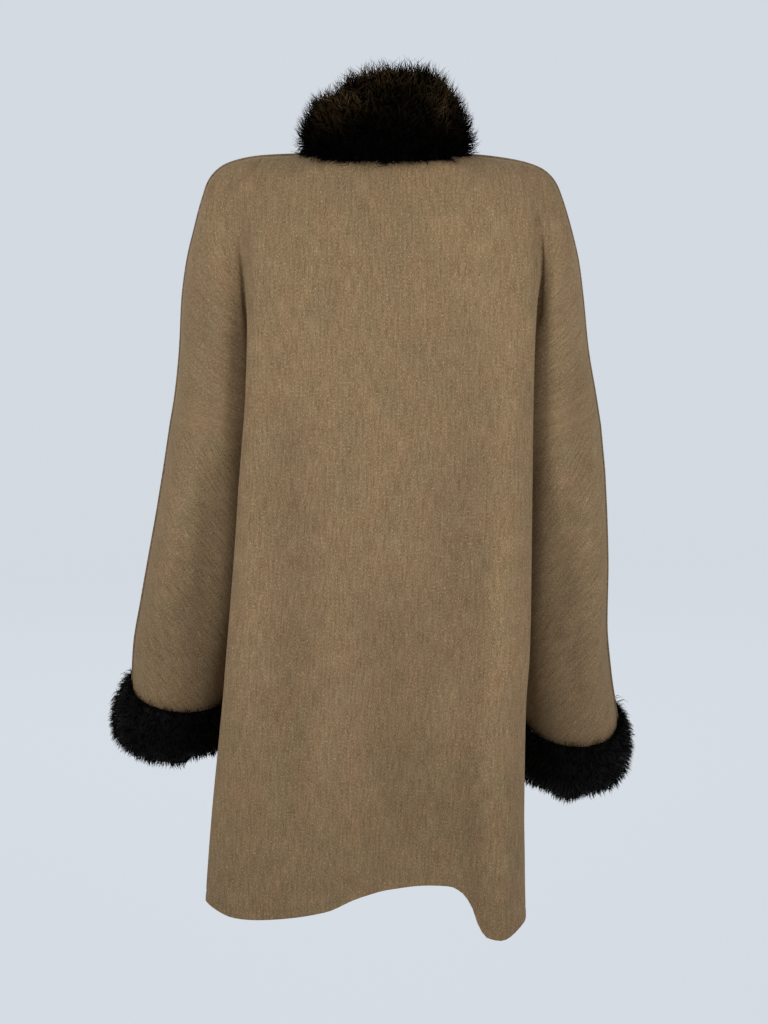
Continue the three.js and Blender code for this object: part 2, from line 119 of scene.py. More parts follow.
SLEEVES = {
    Side.LEFT: {
        "z": [-400, -460, -520, -580, -642, -703],
        "innerX": [163, 167, 174, 184, 197, 210],
        "outerX": [281, 292, 304, 316, 328, 334],
        "y": [-26, -32, -40, -50, -61, -75],
        "halfDepth": [80, 74, 69, 65, 61, 58],
        "riseX": [0.05, 0.06, 0.07, 0.08, 0.09, 0.1],
        "riseY": [-0.03, -0.08, -0.13, -0.18, -0.24, -0.3],
        "dent": [1, 3, 5, 6, 4, 1],
    },
    Side.RIGHT: {
        "z": [-400, -465, -530, -600, -670, -742],
        "innerX": [160, 163, 167, 172, 178, 184],
        "outerX": [277, 282, 286, 288, 297, 312],
        "y": [-27, -36, -50, -68, -92, -122],
        "halfDepth": [80, 73, 67, 62, 57, 54],
        "riseX": [0.02, 0.02, 0.01, -0.01, -0.04, -0.08],
        "riseY": [-0.04, -0.1, -0.2, -0.3, -0.41, -0.5],
        "dent": [0, 2, 5, 6, 4, 1],
    },
}
PANEL_POINTS = ((0.42, 0.04), (0.78, 0.25))
CORNER_FULLNESS = 0.207
CORNER_START = 0.3
SIDE_SEAM_Y = -22.0
SIDE_HEM_Z = -932.0
FRONT_HEM_Z = -928.0
NECK_BLEND_WIDTH = 95.0
FLUTE_GROWTH = 1.4
SEAM_GAP = 0.1
LAP = 32.0
LAP_COLUMNS = 6
UNDERLAP, UNDERLAP_EASE = 4.0, 8.0
NECK_SINK, NECK_SINK_FROM, NECK_SINK_REACH = 0.7, -150.0, 80.0

# how the cloth is pressed, in metres: a line's place, half width and depth; and painted shade on pressed lines and
# troughs, painted light on ridges
SEAM_LINE, HEM_LINE = (0.0075, 0.0026, 0.0002), (0.011, 0.003, 0.0005)
SEAM_SHADE, HEM_SHADE, FOLD_SHADE = 0.03, (0.011, 0.002, 0.05), 0.016
FOLDS_FROM_SEAM = 0.016
FOLDS_TOP, FOLDS_TOP_REACH, HEM_BELOW = 18.0, 40.0, -860.0

# one hair: a ring at its root, one at its middle and a tip
HAIR_VERTS = 7
HAIR_FACES = (
    (0, 1, 4), (0, 4, 3), (1, 2, 5), (1, 5, 4), (2, 0, 3), (2, 3, 5), (3, 4, 6), (4, 5, 6), (5, 3, 6), (0, 2, 1)
)

HAIR_TAPER, HAIR_SPREAD = 0.75, (0.75, 1.25)
GUARD_SIZE, UNDER_SIZE = 1.5, 0.9
TUFT_SHARE, ROOT_SINK, SHORTEST_HAIR, LEAST_RISE = 0.02, 0.001, 0.003, 0.35

# where fewer hairs grow: on the side that is sewn on
SEWN_SPARE, SEWN_LEAST = 1.35, 0.4

# how a pelt's section is found and lumped, in metres
CORE_REACH, CORE_EDGE, SEAT_EDGE, SEAT_LIFT, LUMP = 0.045, 0.012, 0.004, 0.0004, 0.0008


def smooth_between(keys: Sequence[float], values: Sequence[float], at: Array) -> Array:
    """A smooth curve through a table's column that never overshoots its values.

    Args:
        keys: The rising places of the values.
        values: The column.
        at: The places to read.

    Returns:
        The values at those places.
    """
    k, v = np.asarray(keys, float), np.asarray(values, float)
    step, rise = np.diff(k), np.diff(v)
    slope = rise / step
    tangent = np.zeros_like(v)
    left, right = slope[:-1], slope[1:]
    same = left * right > 0
    tangent[1:-1][same] = 2 * left[same] * right[same] / (left[same] + right[same])
    tangent[0], tangent[-1] = slope[0], slope[-1]
    x = np.clip(np.asarray(at, float), k[0], k[-1])
    i = np.clip(np.searchsorted(k, x, side="right") - 1, 0, len(step) - 1)
    t = (x - k[i]) / step[i]
    a, b = 2 * t**3 - 3 * t**2 + 1, t**3 - 2 * t**2 + t
    return a * v[i] + b * step[i] * tangent[i] + (1 - a) * v[i + 1] + (t**3 - t**2) * step[i] * tangent[i + 1]


def finer(columns: dict[str, list[float]], steps: int) -> dict[str, Array]:
    """A table with so many rows for each span, smooth in every column."""
    count = len(next(iter(columns.values())))
    rows = np.linspace(0, count - 1, (count - 1) * steps + 1)
    return {name: smooth_between(range(count), column, rows) for name, column in columns.items()}


def rows_of(columns: dict[str, Array]) -> list[dict[str, float]]:
    """A table's rows."""
    return [dict(zip(columns, row)) for row in zip(*columns.values())]


def curve_through(points: Array, steps: Sequence[int]) -> Array:
    """Points of a centripetal curve through the inner points, whose two outer points only set its ends.

    Args:
        points: The curve's points, two or three numbers each.
        steps: How many places each inner span gets.

    Returns:
        The points at those places.
    """
    made = []
    for span, count in enumerate(steps):
        p0, p1, p2, p3 = points[span : span + 4]
        d1, d2, d3 = (max(np.linalg.norm(b - a) ** 0.5, 1e-6) for a, b in ((p0, p1), (p1, p2), (p2, p3)))
        m1 = ((p1 - p0) / d1 - (p2 - p0) / (d1 + d2) + (p2 - p1) / d2) * d2
        m2 = ((p2 - p1) / d2 - (p3 - p1) / (d2 + d3) + (p3 - p2) / d3) * d2
        t = (np.arange(count) / count)[:, None]
        a, b = 2 * t**3 - 3 * t**2 + 1, t**3 - 2 * t**2 + t
        made.append(a * p1 + b * m1 + (1 - a) * p2 + (t**3 - t**2) * m2)
    return np.vstack([*made, points[-2][None]])


def smooth_step(value: Array) -> Array:
    """The smooth step from 0 to 1 of a value that runs from 0 to 1."""
    t = np.clip(value, 0, 1)
    return t * t * (3 - 2 * t)


def unit(vectors: Array) -> Array:
    """The vectors at length 1."""
    return vectors / np.maximum(np.linalg.norm(vectors, axis=-1, keepdims=True), 1e-12)


def reflected(points: Array, plane_y: float, share: float) -> Array:
    """The points mirrored in a plane across y, with their depth scaled by a share."""
    return np.column_stack([points[:, 0], plane_y - (points[:, 1] - plane_y) * share])


def corner(a: Array, b: Array) -> Array:
    """The point of a rounded corner between two places, standing out from their straight line."""
    run = CORNER_FULLNESS * (b - a)
    return (a + b) / 2 + np.array([run[0], -run[1]])


# ---------------------------------------------------------------- folds


@dataclass(frozen=True)
class Fold:
    """One soft trough or ridge of the cloth.

    Attributes:
        path: Its places from top to bottom as x and z in millimetres, as seen from the back.
        height: How far it stands out, or sinks where it is negative, in millimetres.
        width: The half width of its slope in millimetres.
        on_back: Whether it lies on the back rather than on the front.
        fade: The share of its length over which each end fades.
    """

    path: tuple[tuple[float, float], ...]
    height: float
    width: float
    on_back: bool = True
    fade: float = 0.3

    def lift(self, x: Array, z: Array) -> Array:
        """How far the fold lifts the cloth at places.

        Args:
            x: The places' x in millimetres.
            z: Their heights in millimetres.

        Returns:
            The lift in millimetres.
        """
        nodes = np.array(self.path, float)
        lengths = np.linalg.norm(np.diff(nodes, axis=0), axis=1)
        total, run = lengths.sum(), 0.0
        nearest = np.full(x.shape, 1e9)
        place = np.zeros(x.shape)
        for a, b, length in zip(nodes[:-1], nodes[1:], lengths):
            d = (b - a) / length
            t = np.clip((x - a[0]) * d[0] + (z - a[1]) * d[1], 0, length)
            gap = np.hypot(x - a[0] - t * d[0], z - a[1] - t * d[1])
            closer = gap < nearest
            nearest = np.where(closer, gap, nearest)
            place = np.where(closer, (run + t) / total, place)
            run += length
        ends = smooth_step(place / self.fade) * smooth_step((1 - place) / self.fade)
        return self.height * ends * np.exp(-((nearest / self.width) ** 2))


FOLDS: tuple[Fold, ...] = (
    # the back: a long ridge inside the right fold, which also gets painted light, a soft hollow inside the left one
    Fold(((-150, -110), (-146, -300), (-143, -520), (-140, -800)), 6.5, 22),
    Fold(((-95, -180), (-98, -420), (-80, -700)), -4.6, 32),
    Fold(((118, -250), (112, -560), (120, -820)), -5.6, 24),
    Fold(((160, -150), (166, -420), (176, -760)), 4.6, 15),
    Fold(((62, -360), (58, -640), (66, -900)), 3.4, 30),
    Fold(((-5, -500), (-22, -740), (-40, -905)), -5.0, 36, fade=0.25),
    Fold(((-118, -640), (-128, -800), (-140, -950)), 4.0, 20, fade=0.35),
    Fold(((-88, -700), (-96, -820), (-100, -905)), -3.5, 20, fade=0.35),
    # drag lines from the shoulders
    Fold(((-158, -52), (-110, -120), (-62, -215)), 1.7, 17, fade=0.45),
    Fold(((-140, -150), (-95, -225), (-60, -330)), -1.5, 16, fade=0.45),
    Fold(((150, -60), (108, -120), (66, -190)), 1.2, 16, fade=0.45),
    Fold(((20, -40), (12, -120), (18, -220)), -1.0, 26, fade=0.45),
    # the tops of the creases beside the sleeves
    Fold(((-180, -48), (-184, -105), (-183, -215)), -6.0, 5, fade=0.2),
    Fold(((172, -66), (168, -125), (165, -215)), -5.0, 5, fade=0.25),
    # the sleeves, seen from the back
    Fold(((222, -120), (216, -300), (226, -480), (232, -640)), -3.6, 15, fade=0.3),
    Fold(((196, -240), (192, -420), (206, -600)), 2.4, 13, fade=0.35),
    Fold(((250, -300), (268, -460), (292, -650)), 2.2, 16, fade=0.35),
    Fold(((272, -560), (284, -640), (268, -690)), -1.8, 12, fade=0.4),
    Fold(((-236, -160), (-240, -330), (-228, -500), (-214, -640)), -3.6, 15, fade=0.3),
    Fold(((-205, -260), (-196, -430), (-200, -600)), 2.4, 13, fade=0.35),
    Fold(((-262, -420), (-272, -560), (-280, -690)), 2.6, 13, fade=0.3),
    Fold(((-230, -600), (-244, -680), (-258, -722)), -2.0, 12, fade=0.4),
    # the front: like the back's, but its own lengths and places
    Fold(((96, -160), (88, -430), (98, -800)), 3.4, 28, False),
    Fold(((128, -300), (122, -560), (130, -860)), -3.4, 22, False),
    Fold(((-84, -190), (-92, -470), (-84, -820)), 3.0, 26, False),
    Fold(((-124, -280), (-116, -540), (-126, -860)), -3.6, 22, False),
    Fold(((60, -520), (66, -700), (72, -900)), -2.6, 24, False, 0.3),
    Fold(((-66, -560), (-60, -740), (-58, -900)), 2.4, 24, False, 0.3),
    Fold(((140, -60), (104, -120), (70, -210)), 1.6, 16, False, 0.45),
    Fold(((-142, -62), (-108, -130), (-72, -220)), 1.5, 16, False, 0.45),
    Fold(((232, -160), (224, -360), (238, -560)), -3.2, 15, False),
    Fold(((254, -380), (276, -520), (300, -660)), 2.2, 15, False),
    Fold(((-226, -170), (-222, -380), (-216, -600)), -3.2, 15, False),
    Fold(((-252, -420), (-262, -560), (-276, -690)), 2.2, 14, False),
)


# ---------------------------------------------------------------- the cut of the cloth


@dataclass
class Patch:
    """A grid of places of one piece of cloth.

    Attributes:
        points: The places in millimetres, rows by columns by three.
        cloth: Each place's own place in the flat cloth in metres, rows by columns by two.
        seam: How near each place is to a sewn edge, 1 on it.
    """

    points: Array
    cloth: Array
    seam: Array

    def flipped(self) -> "Patch":
        """The patch with its columns the other way round."""
        return Patch(self.points[:, ::-1], self.cloth[:, ::-1], self.seam[:, ::-1])


def sewn_at(grid: Array, *marks: tuple) -> Array:
    """1 where a grid is sewn and 0 elsewhere."""
    seam = np.zeros(grid.shape[:2])
    for mark in marks:
        seam[mark] = 1
    return seam


@dataclass
class Cut:
    """The coat's cut as smooth sections, one side's half of the back or of a front at a time.

    Attributes:
        upper_steps: Rows between two sections above the underarm.
        lower_steps: Rows between two sections of the body below it.
        sleeve_rows: Rows between two sections of a sleeve below it.
        body_columns: Columns in each stretch from the centre to the crease.
        arm_columns: Columns in each stretch from the crease to the seam over the arm.
        grain_turn: How far the cloth's grain turns on the sleeves, in degrees.
        grain_blend: The width over which it turns above the crease, in millimetres.
        grain_tops: How far down it starts to turn and how far it takes, at the crease and beside it, in millimetres.
        grain_pivot: The place across and down about which it turns, in millimetres.
    """

    upper_steps: int = 6
    lower_steps: int = 11
    sleeve_rows: int = 10
    body_columns: tuple[int, ...] = (12, 12, 8, 14)
    arm_columns: tuple[int, ...] = (8, 8, 8, 9)
    grain_turn: float = 42.0
    grain_blend: float = 42.0
    grain_tops: tuple[tuple[float, float], ...] = ((60, 170), (10, 190))
    grain_pivot: tuple[float, float] = (185.0, 110.0)

    def __post_init__(self) -> None:
        """Makes the tables finer once."""
        self.sides = {side: finer(UPPER | columns, self.upper_steps) for side, columns in SIDES.items()}
        self.lower = finer(LOWER, self.lower_steps)
        self.sleeves = {side: finer(columns, self.sleeve_rows) for side, columns in SLEEVES.items()}

    def panel_points(self, centre: Array, fold: Array) -> list[Array]:
        """The panel's inner points on one side, from the centre outwards."""
        return [
            np.array([centre[0] + (fold[0] - centre[0]) * along, centre[1] - drop * (centre[1] - fold[1])])
            for along, drop in PANEL_POINTS
        ]

    def upper_half(self, side: Side, row: dict[str, float], other: dict[str, float]) -> tuple[Array, Array]:
        """One row of the back above the underarm, in plan.

        Args:
            side: The wearer's side.
            row: The side's row of the tables.
            other: The other side's.

        Returns:
            The body's places from the centre to the crease, and the arm's on to the seam.
        """
        sign, split = side.value, row["split"]
        centre = np.array([0.0, row["backY"]])
        fold, crease, arm, seam = (
            np.array([sign * row[name + "X"], row[name + "Y"]]) for name in ("fold", "crease", "arm", "seam")
        )
        run = CORNER_FULLNESS * (CORNER_START + (1 - CORNER_START) * split) * (crease - arm)
        inner = (arm + crease) / 2 + np.array([run[0], -run[1]])
        outer = corner(arm, seam)
        near = self.panel_points(centre, np.array([-sign * other["foldX"], other["foldY"]]))[0]
        mirror = lambda p: reflected(p[None], row["seamY"], 1.0)[0]
        past = arm + (mirror(fold) - arm) * split
        before = fold + (mirror(inner) - fold) * split
        body = curve_through(
            np.array([near, centre, *self.panel_points(centre, fold), fold, crease, past]), self.body_columns
        )
        sleeve = curve_through(np.array([before, crease, inner, arm, outer, seam, mirror(outer)]), self.arm_columns)
        return body, sleeve

    def upper_rows(self, side: Side, front: bool) -> tuple[Array, Array]:
        """All rows above the underarm.

        Args:
            side: The wearer's side.
            front: Whether it is the front's half.

        Returns:
            The body's and the sleeve's grids of places.
        """
        bodies, sleeves = [], []
        for row, other in zip(rows_of(self.sides[side]), rows_of(self.sides[Side(-side.value)])):
            for half, grids in zip(self.upper_half(side, row, other), (bodies, sleeves)):
                share = np.minimum(1, np.abs(half[:, 0]) / row["seamX"])
                lift = row["rise"] * np.maximum(0, np.abs(half[:, 0]) - row["creaseX"])
                z = row["sideZ"] + (row["backZ"] - row["sideZ"]) * (1 - share**2) + lift
                plan = reflected(half, row["seamY"], row["frontShare"]) if front else half
                placed = np.column_stack([plan, z])
                if front:
                    reach = np.minimum(1, np.abs(placed[:, 0]) / NECK_BLEND_WIDTH)
                    weight = np.cos(reach * math.pi / 2) ** 2
                    placed[:, 2] -= row["neckDrop"] * weight
                    placed[:, 1] -= row["neckPush"] * weight
                grids.append(placed)
        return np.array(bodies), np.array(sleeves)

    def body_rows(self, side: Side, front: bool) -> Array:
        """The body's rows below the underarm, from the centre to the side seam."""
        sign = side.value
        underarm, hem = UPPER["backZ"][-1], LOWER["z"][-1]
        rows = []
        for row in rows_of(self.lower):
            folds = (row["leftFold"], -row["rightFold"])
            own, other = folds if side is Side.LEFT else folds[::-1]
            centre = np.array([(own + other) / 2, row["backY"]])
            fold = np.array([own, row["foldY"]])
            side_x = row["leftSide"] if side is Side.LEFT else row["rightSide"]
            seam = np.array([sign * side_x, SIDE_SEAM_Y])
            near = self.panel_points(centre, np.array([other, row["foldY"]]))[0]
            past = reflected(fold[None], SIDE_SEAM_Y, 1.0)[0]
            plan = curve_through(
                np.array([near, centre, *self.panel_points(centre, fold), fold, seam, past]), self.body_columns
            )
            down = (row["z"] - underarm) / (hem - underarm)
            backness = np.clip((plan[:, 1] - SIDE_SEAM_Y) / (row["foldY"] - SIDE_SEAM_Y), 0, 1)
            edge = np.full(len(plan), FRONT_HEM_Z) if front else smooth_between(HEM["x"], HEM["z"], plan[:, 0])
            flute = smooth_between(HEM["x"], HEM["out"], plan[:, 0]) * backness * down**FLUTE_GROWTH
            narrowed = 1 + (row["frontWidth"] - 1) * backness if front else 1.0
            placed = np.column_stack([centre[0] + (plan[:, 0] - centre[0]) * narrowed, plan[:, 1] + flute])
            if front:
                placed = reflected(placed, SIDE_SEAM_Y, row["frontShare"])
            z = underarm + (SIDE_HEM_Z + (edge - SIDE_HEM_Z) * backness - underarm) * down
            rows.append(np.column_stack([placed, z]))
        return np.array(rows)

    def sleeve_grid(self, side: Side, front: bool) -> Array:
        """A sleeve's rows below the underarm, from its inner seam to the seam over the arm."""
        share = UPPER["frontShare"][-1] if front else 1.0
        sign = side.value
        rows = []
        for row in rows_of(self.sleeves[side]):
            inner = np.array([sign * row["innerX"], row["y"]])
            outer = np.array([sign * row["outerX"], row["y"]])
            arm = np.array([(inner[0] + outer[0]) / 2, row["y"] + row["halfDepth"]])
            corners = [corner(arm, inner), corner(arm, outer)]
            ends = [reflected(p[None], row["y"], 1.0)[0] for p in corners]
            arm[1] -= row["dent"]
            plan = curve_through(
                np.array([ends[0], inner, corners[0], arm, corners[1], outer, ends[1]]), self.arm_columns
            )
            placed = reflected(plan, row["y"], share) if front else plan
            tip = row["riseX"] * np.abs(placed[:, 0] - inner[0]) + row["riseY"] * (placed[:, 1] - row["y"])
            rows.append(np.column_stack([placed, row["z"] + tip]))
        return np.array(rows)

    def bridge(self, top: Array, rows: Array, spans: int) -> Array:
        """The rows below the underarm, after so many that join them to the last section above it."""
        t = (np.arange(spans) / spans)[:, None, None]
        return np.concatenate([top + (rows[0] - top) * t, rows])

    def flat_places(self, grid: Array, start: Array, turn: Array, sign: int) -> Array:
        """Where the places of a grid lie in the flat cloth.

        Args:
            grid: The places in millimetres.
            start: How far the first column lies across the cloth, for each row.
            turn: The turn at each place in radians.
            sign: 1 on the wearer's left, -1 on the right.

        Returns:
            The places across and down in metres.
        """
        steps = np.linalg.norm(np.diff(grid[..., :2], axis=1), axis=2)
        across = start[:, None] + np.concatenate([np.zeros((len(grid), 1)), np.cumsum(steps, axis=1)], axis=1)
        down = -grid[..., 2]
        pivot = self.grain_pivot
        a, b = across - pivot[0], down - pivot[1]
        cos, sin = np.cos(turn), np.sin(turn)
        turned = np.stack([a * cos + b * sin + pivot[0], b * cos - a * sin + pivot[1]], -1)
        turned[..., 0] *= sign
        return turned * MM

    def half(self, side: Side, front: bool) -> dict[str, Patch]:
        """One side's half of the back or of a front, as patches that share their edges.

        Args:
            side: The wearer's side.
            front: Whether it is the front's half.

        Returns:
            The patches upper_body, upper_sleeve, body and sleeve.
        """
        body, sleeve = self.upper_rows(side, front)
        lower = self.bridge(body[-1], self.body_rows(side, front), self.lower_steps)
        arm = self.bridge(sleeve[-1], self.sleeve_grid(side, front), self.sleeve_rows)
        shift = (-1 if front else 1) * SEAM_GAP / 2
        for grid in (body, sleeve, lower, arm):
            grid[..., 1] += shift
        lower[0], arm[0] = body[-1], sleeve[-1]
        down = slice(None)
        upper_seam, low_seam = sewn_at(body, (-1, -1)), sewn_at(lower, (down, -1))
        arm_seam, sleeve_seam = sewn_at(sleeve, (down, -1), (-1, 0)), sewn_at(arm, (down, [0, -1]))
        still = lambda grid: self.flat_places(grid, np.zeros(len(grid)), np.zeros(grid.shape[:2]), side.value)
        reach = np.linalg.norm(np.diff(body[..., :2], axis=1), axis=2).sum(axis=1)
        full = math.radians(self.grain_turn)
        grown = np.linalg.norm(np.diff(sleeve[..., :2], axis=1), axis=2).cumsum(axis=1)
        grown = np.concatenate([np.zeros((len(sleeve), 1)), grown], axis=1)
        creased, beside = (smooth_step((-sleeve[..., 2] - top) / reach) for top, reach in self.grain_tops)
        turn = full * np.maximum(smooth_step(grown / self.grain_blend) * beside, creased)
        low_start, low_turn = np.full(len(arm), reach[-1]), np.full(arm.shape[:2], full)
        return {
            "upper_body": Patch(body, still(body), upper_seam),
            "upper_sleeve": Patch(sleeve, self.flat_places(sleeve, reach, turn, side.value), arm_seam),
            "body": Patch(lower, still(lower), low_seam),
            "sleeve": Patch(arm, self.flat_places(arm, low_start, low_turn, side.value), sleeve_seam),
        }

    def back(self) -> list[Patch]:
        """The whole back with both back half-sleeves, rows running from the wearer's left to right."""
        left, right = self.half(Side.LEFT, False), self.half(Side.RIGHT, False)

        def joined(name: str) -> Patch:
            """The two halves' patches as one, without the second one's centre column."""
            pairs = zip(vars(left[name].flipped()).values(), vars(right[name]).values())
            return Patch(*(np.concatenate([a, b[:, 1:]], axis=1) for a, b in pairs))

        return [joined("upper_body"), joined("body")] + [
            half[name].flipped() if half is left else half[name]
            for half in (left, right)
            for name in ("upper_sleeve", "sleeve")
        ]

    def front(self, side: Side) -> list[Patch]:
        """A front: its side's half and a strip past the centre for the lap.

        Args:
            side: The wearer's side. The left front is the under layer.

        Returns:
            The front's patches, outside to the front.
        """
        own, other = self.half(side, True), self.half(Side(-side.value), True)
        patches = []
        for name in ("upper_body", "body"):
            grid, beyond = own[name], other[name]
            wide = []
            places = np.linspace(LAP, 0, LAP_COLUMNS + 1)[:-1]
            for row, far in zip(grid.points, beyond.points):
                reach = np.abs(far[:, 0] - row[0, 0])
                strip = np.column_stack([np.interp(places, reach[:20], far[:20, k]) for k in range(3)])
                wide.append(np.vstack([strip, row]))
            points = np.array(wide)
            centre = grid.points[:, :1, 0]
            if side is Side.LEFT:
                past = points[..., 0] - centre
                depth = UNDERLAP * (1 - np.clip((past - LAP - UNDERLAP_EASE) / LAP, 0, 1))
                points[..., 1] += depth
                high = np.clip((points[..., 2] - NECK_SINK_FROM) / NECK_SINK_REACH, 0, 1)
                points[..., 2] -= depth * NECK_SINK * high
            down = -points[:, :LAP_COLUMNS, 2] * MM
            across = np.broadcast_to(-places * MM * side.value, down.shape)
            cloth = np.concatenate([np.stack([across, down], -1), grid.cloth], axis=1)
            seam = np.concatenate([np.zeros((len(points), LAP_COLUMNS)), grid.seam], axis=1)
            patches.append(Patch(points, cloth, seam))
        patches += [own["upper_sleeve"], own["sleeve"]]
        return patches if side is Side.RIGHT else [patch.flipped() for patch in patches]


# ---------------------------------------------------------------- shader maths


class Sock:
    """A shader socket whose operators add Math nodes."""

    def __init__(self, tree: "Nodes", link: bpy.types.NodeSocket) -> None:
        """Keeps the node tree and the socket."""
        self.tree, self.link = tree, link

    def _math(self, operation: str, *values: "Sock | float", clamp: bool = False) -> "Sock":
        """One Math node on values, clamped from 0 to 1 where asked."""
        return self.tree.add("ShaderNodeMath", {"operation": operation, "use_clamp": clamp}, *values)

    def __add__(self, other: "Sock | float") -> "Sock":
        """The sum."""
        return self._math("ADD", self, other)

    __radd__ = __add__

    def __sub__(self, other: "Sock | float") -> "Sock":
        """The difference."""
        return self._math("SUBTRACT", self, other)

    def __rsub__(self, other: float) -> "Sock":
        """A number less this value."""
        return self._math("SUBTRACT", other, self)

    def __mul__(self, other: "Sock | float") -> "Sock":
        """The product."""
        return self._math("MULTIPLY", self, other)

    __rmul__ = __mul__

    def clamped(self) -> "Sock":
        """The value kept from 0 to 1."""
        return self._math("ADD", self, 0.0, clamp=True)

    def step(self, low: float, high: float) -> "Sock":
        """The smooth step from low to high."""
        return self.tree.add(
            "ShaderNodeMapRange", {"interpolation_type": "SMOOTHSTEP"}, self, low, high, 0.0, 1.0
        )


class Nodes:
    """A material's node tree, built from Python expressions."""

    def __init__(self, name: str) -> None:
        """Makes an empty node material."""
        self.material = bpy.data.materials.new(name)
        self.material.use_nodes = True
        self.tree = self.material.node_tree
        self.tree.nodes.clear()

    def add(
        self, kind: str, settings: dict | None = None, *values: object, out: str | int = 0, **named: object
    ) -> Sock:
        """Any node.

        Args:
            kind: The node's type.
            settings: Its properties, set first.
            values: The values or links of its sockets in order, None to leave one alone.
            out: Which output to return.
            named: Values or links by socket name, with underscores for spaces.

        Returns:
            The chosen output.
        """
        node = self.tree.nodes.new(kind)
        for key, value in (settings or {}).items():
            setattr(node, key, value)
        enabled = [s for s in node.inputs if s.enabled]
        pairs = list(zip(enabled, values))
        for key, value in named.items():
            wanted = key.replace("_", " ")
            pairs.append((next(s for s in enabled if s.name == wanted), value))
        for socket, value in pairs:
            if value is None:
                continue
            if isinstance(value, Sock):
                self.tree.links.new(value.link, socket)
            elif isinstance(value, tuple) and len(value) == 3 and socket.type == "RGBA":
                socket.default_value = (*value, 1.0)
            else:
                socket.default_value = value
        outputs = [s for s in node.outputs if s.enabled]
        found = outputs[out] if isinstance(out, int) else next(s for s in outputs if s.name == out)
        return Sock(self, found)

    def uv(self, across: float, down: float, turn: float = 0.0) -> Sock:
        """The cloth's own coordinates, with cells to the metre across and down the grain, turned by degrees."""
        place = self.add("ShaderNodeUVMap", {"uv_map": "cloth"})
        still, turned, scaled = (0.0, 0.0, 0.0), (0.0, 0.0, math.radians(turn)), (across, down, 1.0)
        return self.add("ShaderNodeMapping", {"vector_type": "POINT"}, place, still, turned, scaled)

    def noise(self, where: Sock, scale: float, detail: float = 2.0, rough: float = 0.5) -> Sock:
        """Noise from 0 to 1 at places."""
        return self.add("ShaderNodeTexNoise", {"noise_dimensions": "3D"}, where, scale, detail, rough)

    def mix(self, share: "Sock | float", a: object, b: object) -> Sock:
        """Two colours mixed."""
        return self.add("ShaderNodeMix", {"data_type": "RGBA"}, share, a, b)

    def tint(self, colour: Sock, strength: Sock) -> Sock:
        """A colour made lighter or darker by a number."""
        return self.add("ShaderNodeVectorMath", {"operation": "SCALE"}, colour, Scale=strength)

    def attribute(self, name: str) -> Sock:
        """A number that the mesh carries."""
        return self.add("ShaderNodeAttribute", {"attribute_name": name}, out="Fac")

    def surface(self, **named: object) -> bpy.types.Material:
        """Sends a surface of these values to the output and returns the material."""
        shader = self.add("ShaderNodeBsdfPrincipled", None, **named)
        output = self.tree.nodes.new("ShaderNodeOutputMaterial")
        self.tree.links.new(shader.link, output.inputs["Surface"])
        return self.material


def linear(red: float, green: float, blue: float) -> Triple:
    """A screen colour of 0 to 255 as linear light."""
    values = (c / 255 for c in (red, green, blue))
    return tuple(c / 12.92 if c <= 0.04045 else ((c + 0.055) / 1.055) ** 2.4 for c in values)


@dataclass(frozen=True)
class BrushedWool:
    """A melange wool coating with a short brushed nap.

    Attributes:
        dark: The darkest fibres.
        mid: The ground.
        light: The lightest fibres.
        depth: How much of those colours the dyed cloth gives back.
        fibre: Fibre cells to the metre across the grain.
        streak: How much longer the streaks are than wide.
        nap_height: The bump's depth in metres.
    """

    dark: Triple = linear(96, 76, 49)
    mid: Triple = linear(145, 121, 92)
    light: Triple = linear(188, 164, 130)
    depth: float = 0.785
    fibre: float = 900.0
    streak: float = 2.4
    nap_height: float = 0.0007

    def build(self) -> bpy.types.Material:
        """Makes the material."""
        n = Nodes("brushed_wool")
        fine = n.noise(n.uv(self.fibre, self.fibre / self.streak), 1.0, 3.0, 0.65)
        thread = n.noise(n.uv(self.fibre * 0.42, self.fibre * 0.42 / 9), 1.0, 2.0, 0.6)
        speck = n.noise(n.uv(self.fibre * 0.8, self.fibre * 0.5), 1.0, 1.0, 0.5)
        cloud = n.noise(n.uv(38, 20), 1.0, 3.0, 0.55)
        broad = n.noise(n.uv(7, 4), 1.0, 2.0, 0.5)
        stray = n.noise(n.uv(self.fibre * 0.35, self.fibre * 0.12, 24), 1.0, 1.0, 0.5)
        patch = n.noise(n.uv(30, 19), 1.0, 2.0, 0.5)
        melange = (fine * 0.55 + thread * 0.45 - 0.5) * 2.8 + 0.56
        ground = n.mix(melange.clamped(), self.dark, self.mid)
        lit = ((fine * 0.4 + speck * 0.6).step(0.5, 0.7) * 0.5 + stray.step(0.64, 0.78) * 0.25).clamped()
        colour = n.mix(lit, ground, self.light)
        low = n.add("ShaderNodeSeparateXYZ", None, n.uv(1, 1), out="Y") * 0.35
        hue = n.mix(((patch - 0.5) * 2.4 + 0.3 + low).clamped(), (0.975, 1.0, 0.98), (1.035, 0.98, 0.965))
        colour = n.add("ShaderNodeVectorMath", {"operation": "MULTIPLY"}, colour, hue)
        # the painted shade of the seams, the hem's line and the folds' troughs, and the painted light of their ridges
        painted_light_and_shade = n.attribute("shade")
        tone = ((cloud - 0.5) * 0.34 + (broad - 0.5) * 0.32 + 1.0 - painted_light_and_shade) * self.depth
        colour = n.tint(colour, tone)
        height = fine * 0.5 + thread * 0.3 + speck * 0.4
        bump = n.add("ShaderNodeBump", None, Strength=0.55, Distance=self.nap_height, Height=height)
        rough = 0.96 - lit * 0.12
        return n.surface(
            Base_Color=colour,
            Roughness=rough,
            Normal=bump,
            Sheen_Weight=0.07,
            Sheen_Roughness=0.5,
            Sheen_Tint=(*linear(214, 190, 158), 1.0),
            Specular_IOR_Level=0.18,
        )


